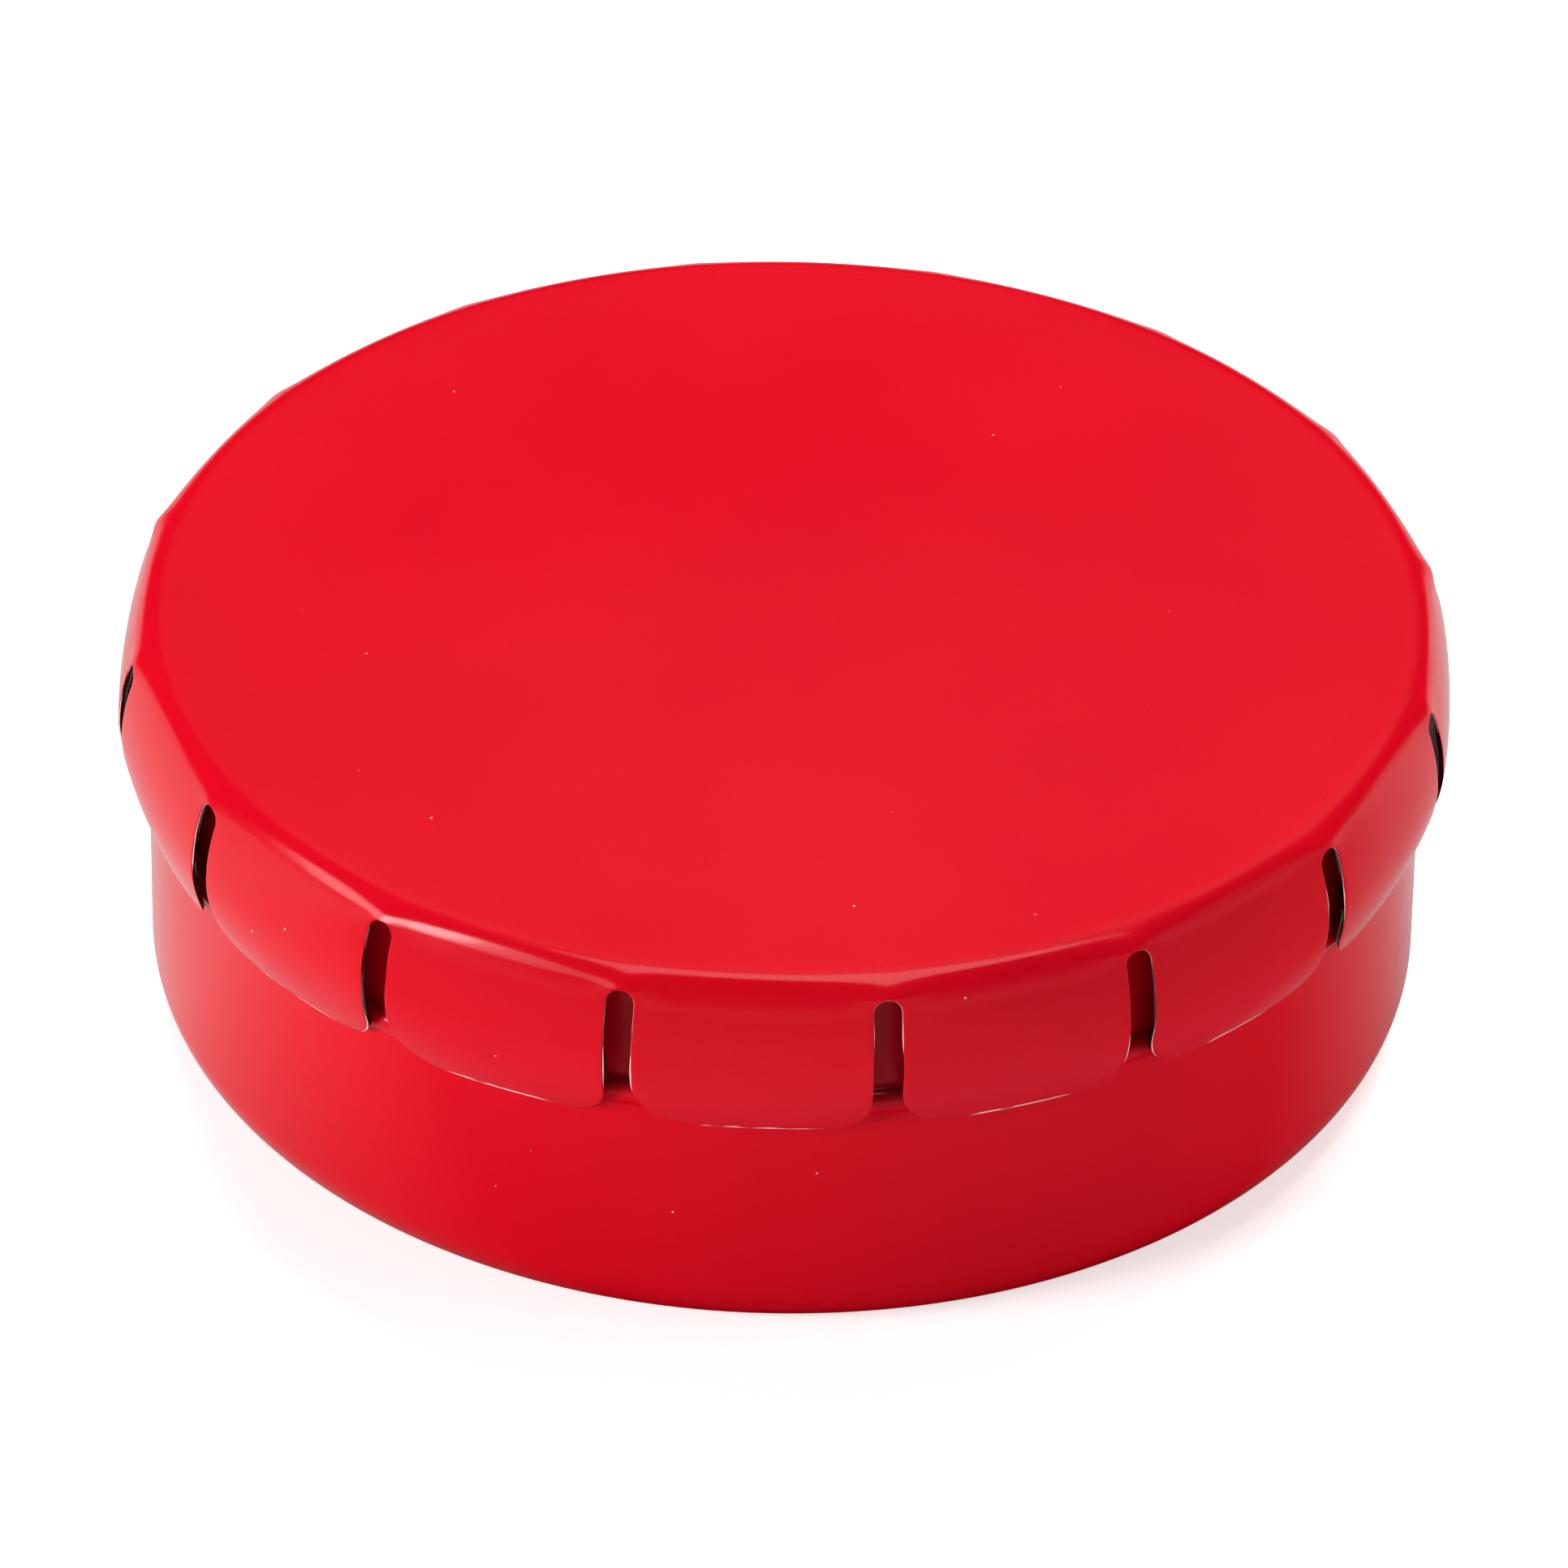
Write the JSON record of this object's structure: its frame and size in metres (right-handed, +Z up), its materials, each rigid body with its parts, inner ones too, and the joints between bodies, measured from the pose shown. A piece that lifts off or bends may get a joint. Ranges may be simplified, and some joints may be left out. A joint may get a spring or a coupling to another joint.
{
  "type": "mint tin",
  "caption": "Round pocket tin for mints with a snap lid: pressing the domed centre splays the skirt fingers off the ridge round the can, so the lid lifts off.",
  "frame": {"origin": "middle of the foot ring, on the surface the tin stands on", "axes": "+Z up through the middle of the lid; +X to the right and +Y away as the picture sees it"},
  "size_m": [0.05, 0.05, 0.017],
  "materials": {
    "can_enamel": "gloss red enamel on tinplate, clear lacquer inside, bare bright cut edges",
    "lid_enamel": "gloss red enamel on tinplate",
    "finger_enamel": "gloss red enamel on tinplate with bare bright slot edges"
  },
  "bodies": {
    "base": {"base_can": "can_enamel"},
    "lid": {"lid_shoulder": "lid_enamel"},
    "dome": {"lid_dome": "lid_enamel"},
    "finger_01": {"finger_01": "finger_enamel"},
    "finger_02": {"finger_02": "finger_enamel"},
    "finger_03": {"finger_03": "finger_enamel"},
    "finger_04": {"finger_04": "finger_enamel"},
    "finger_05": {"finger_05": "finger_enamel"},
    "finger_06": {"finger_06": "finger_enamel"},
    "finger_07": {"finger_07": "finger_enamel"},
    "finger_08": {"finger_08": "finger_enamel"},
    "finger_09": {"finger_09": "finger_enamel"},
    "finger_10": {"finger_10": "finger_enamel"},
    "finger_11": {"finger_11": "finger_enamel"},
    "finger_12": {"finger_12": "finger_enamel"},
    "finger_13": {"finger_13": "finger_enamel"},
    "finger_14": {"finger_14": "finger_enamel"},
    "finger_15": {"finger_15": "finger_enamel"},
    "finger_16": {"finger_16": "finger_enamel"}
  },
  "joints": [
    {"name": "lid_lift", "type": "slide", "parent": "base", "child": "lid", "axis": [0, 0, 1], "range_m": [0, 0.024]},
    {"name": "dome_click", "type": "slide", "parent": "lid", "child": "dome", "axis": [0, 0, -1], "range_m": [0, 0.0012]},
    {"name": "finger_01_flex", "type": "hinge", "parent": "lid", "child": "finger_01", "pos_m": [0.02274, 0.00839, 0.01555], "axis": [0.3461, -0.9382, 0], "range_deg": [0, 5.2]},
    {"name": "finger_02_flex", "type": "hinge", "parent": "lid", "child": "finger_02", "pos_m": [0.0178, 0.01645, 0.01555], "axis": [0.6788, -0.7343, 0], "range_deg": [0, 5.2]},
    {"name": "finger_03_flex", "type": "hinge", "parent": "lid", "child": "finger_03", "pos_m": [0.01015, 0.02201, 0.01555], "axis": [0.9081, -0.4187, 0], "range_deg": [0, 5.2]},
    {"name": "finger_04_flex", "type": "hinge", "parent": "lid", "child": "finger_04", "pos_m": [0.00095, 0.02422, 0.01555], "axis": [0.9992, -0.0393, 0], "range_deg": [0, 5.2]},
    {"name": "finger_05_flex", "type": "hinge", "parent": "lid", "child": "finger_05", "pos_m": [-0.00839, 0.02274, 0.01555], "axis": [0.9382, 0.3461, 0], "range_deg": [0, 5.2]},
    {"name": "finger_06_flex", "type": "hinge", "parent": "lid", "child": "finger_06", "pos_m": [-0.01645, 0.0178, 0.01555], "axis": [0.7343, 0.6788, 0], "range_deg": [0, 5.2]},
    {"name": "finger_07_flex", "type": "hinge", "parent": "lid", "child": "finger_07", "pos_m": [-0.02201, 0.01015, 0.01555], "axis": [0.4187, 0.9081, 0], "range_deg": [0, 5.2]},
    {"name": "finger_08_flex", "type": "hinge", "parent": "lid", "child": "finger_08", "pos_m": [-0.02422, 0.00095, 0.01555], "axis": [0.0393, 0.9992, 0], "range_deg": [0, 5.2]},
    {"name": "finger_09_flex", "type": "hinge", "parent": "lid", "child": "finger_09", "pos_m": [-0.02274, -0.00839, 0.01555], "axis": [-0.3461, 0.9382, 0], "range_deg": [0, 5.2]},
    {"name": "finger_10_flex", "type": "hinge", "parent": "lid", "child": "finger_10", "pos_m": [-0.0178, -0.01645, 0.01555], "axis": [-0.6788, 0.7343, 0], "range_deg": [0, 5.2]},
    {"name": "finger_11_flex", "type": "hinge", "parent": "lid", "child": "finger_11", "pos_m": [-0.01015, -0.02201, 0.01555], "axis": [-0.9081, 0.4187, 0], "range_deg": [0, 5.2]},
    {"name": "finger_12_flex", "type": "hinge", "parent": "lid", "child": "finger_12", "pos_m": [-0.00095, -0.02422, 0.01555], "axis": [-0.9992, 0.0393, 0], "range_deg": [0, 5.2]},
    {"name": "finger_13_flex", "type": "hinge", "parent": "lid", "child": "finger_13", "pos_m": [0.00839, -0.02274, 0.01555], "axis": [-0.9382, -0.3461, 0], "range_deg": [0, 5.2]},
    {"name": "finger_14_flex", "type": "hinge", "parent": "lid", "child": "finger_14", "pos_m": [0.01645, -0.0178, 0.01555], "axis": [-0.7343, -0.6788, 0], "range_deg": [0, 5.2]},
    {"name": "finger_15_flex", "type": "hinge", "parent": "lid", "child": "finger_15", "pos_m": [0.02201, -0.01015, 0.01555], "axis": [-0.4187, -0.9081, 0], "range_deg": [0, 5.2]},
    {"name": "finger_16_flex", "type": "hinge", "parent": "lid", "child": "finger_16", "pos_m": [0.02422, -0.00095, 0.01555], "axis": [-0.0393, -0.9992, 0], "range_deg": [0, 5.2]}
  ],
  "couplings": [
    {"joint": "finger_01_flex", "follows": "dome_click", "rad_per_m": 75},
    {"joint": "finger_02_flex", "follows": "dome_click", "rad_per_m": 75},
    {"joint": "finger_03_flex", "follows": "dome_click", "rad_per_m": 75},
    {"joint": "finger_04_flex", "follows": "dome_click", "rad_per_m": 75},
    {"joint": "finger_05_flex", "follows": "dome_click", "rad_per_m": 75},
    {"joint": "finger_06_flex", "follows": "dome_click", "rad_per_m": 75},
    {"joint": "finger_07_flex", "follows": "dome_click", "rad_per_m": 75},
    {"joint": "finger_08_flex", "follows": "dome_click", "rad_per_m": 75},
    {"joint": "finger_09_flex", "follows": "dome_click", "rad_per_m": 75},
    {"joint": "finger_10_flex", "follows": "dome_click", "rad_per_m": 75},
    {"joint": "finger_11_flex", "follows": "dome_click", "rad_per_m": 75},
    {"joint": "finger_12_flex", "follows": "dome_click", "rad_per_m": 75},
    {"joint": "finger_13_flex", "follows": "dome_click", "rad_per_m": 75},
    {"joint": "finger_14_flex", "follows": "dome_click", "rad_per_m": 75},
    {"joint": "finger_15_flex", "follows": "dome_click", "rad_per_m": 75},
    {"joint": "finger_16_flex", "follows": "dome_click", "rad_per_m": 75}
  ]
}
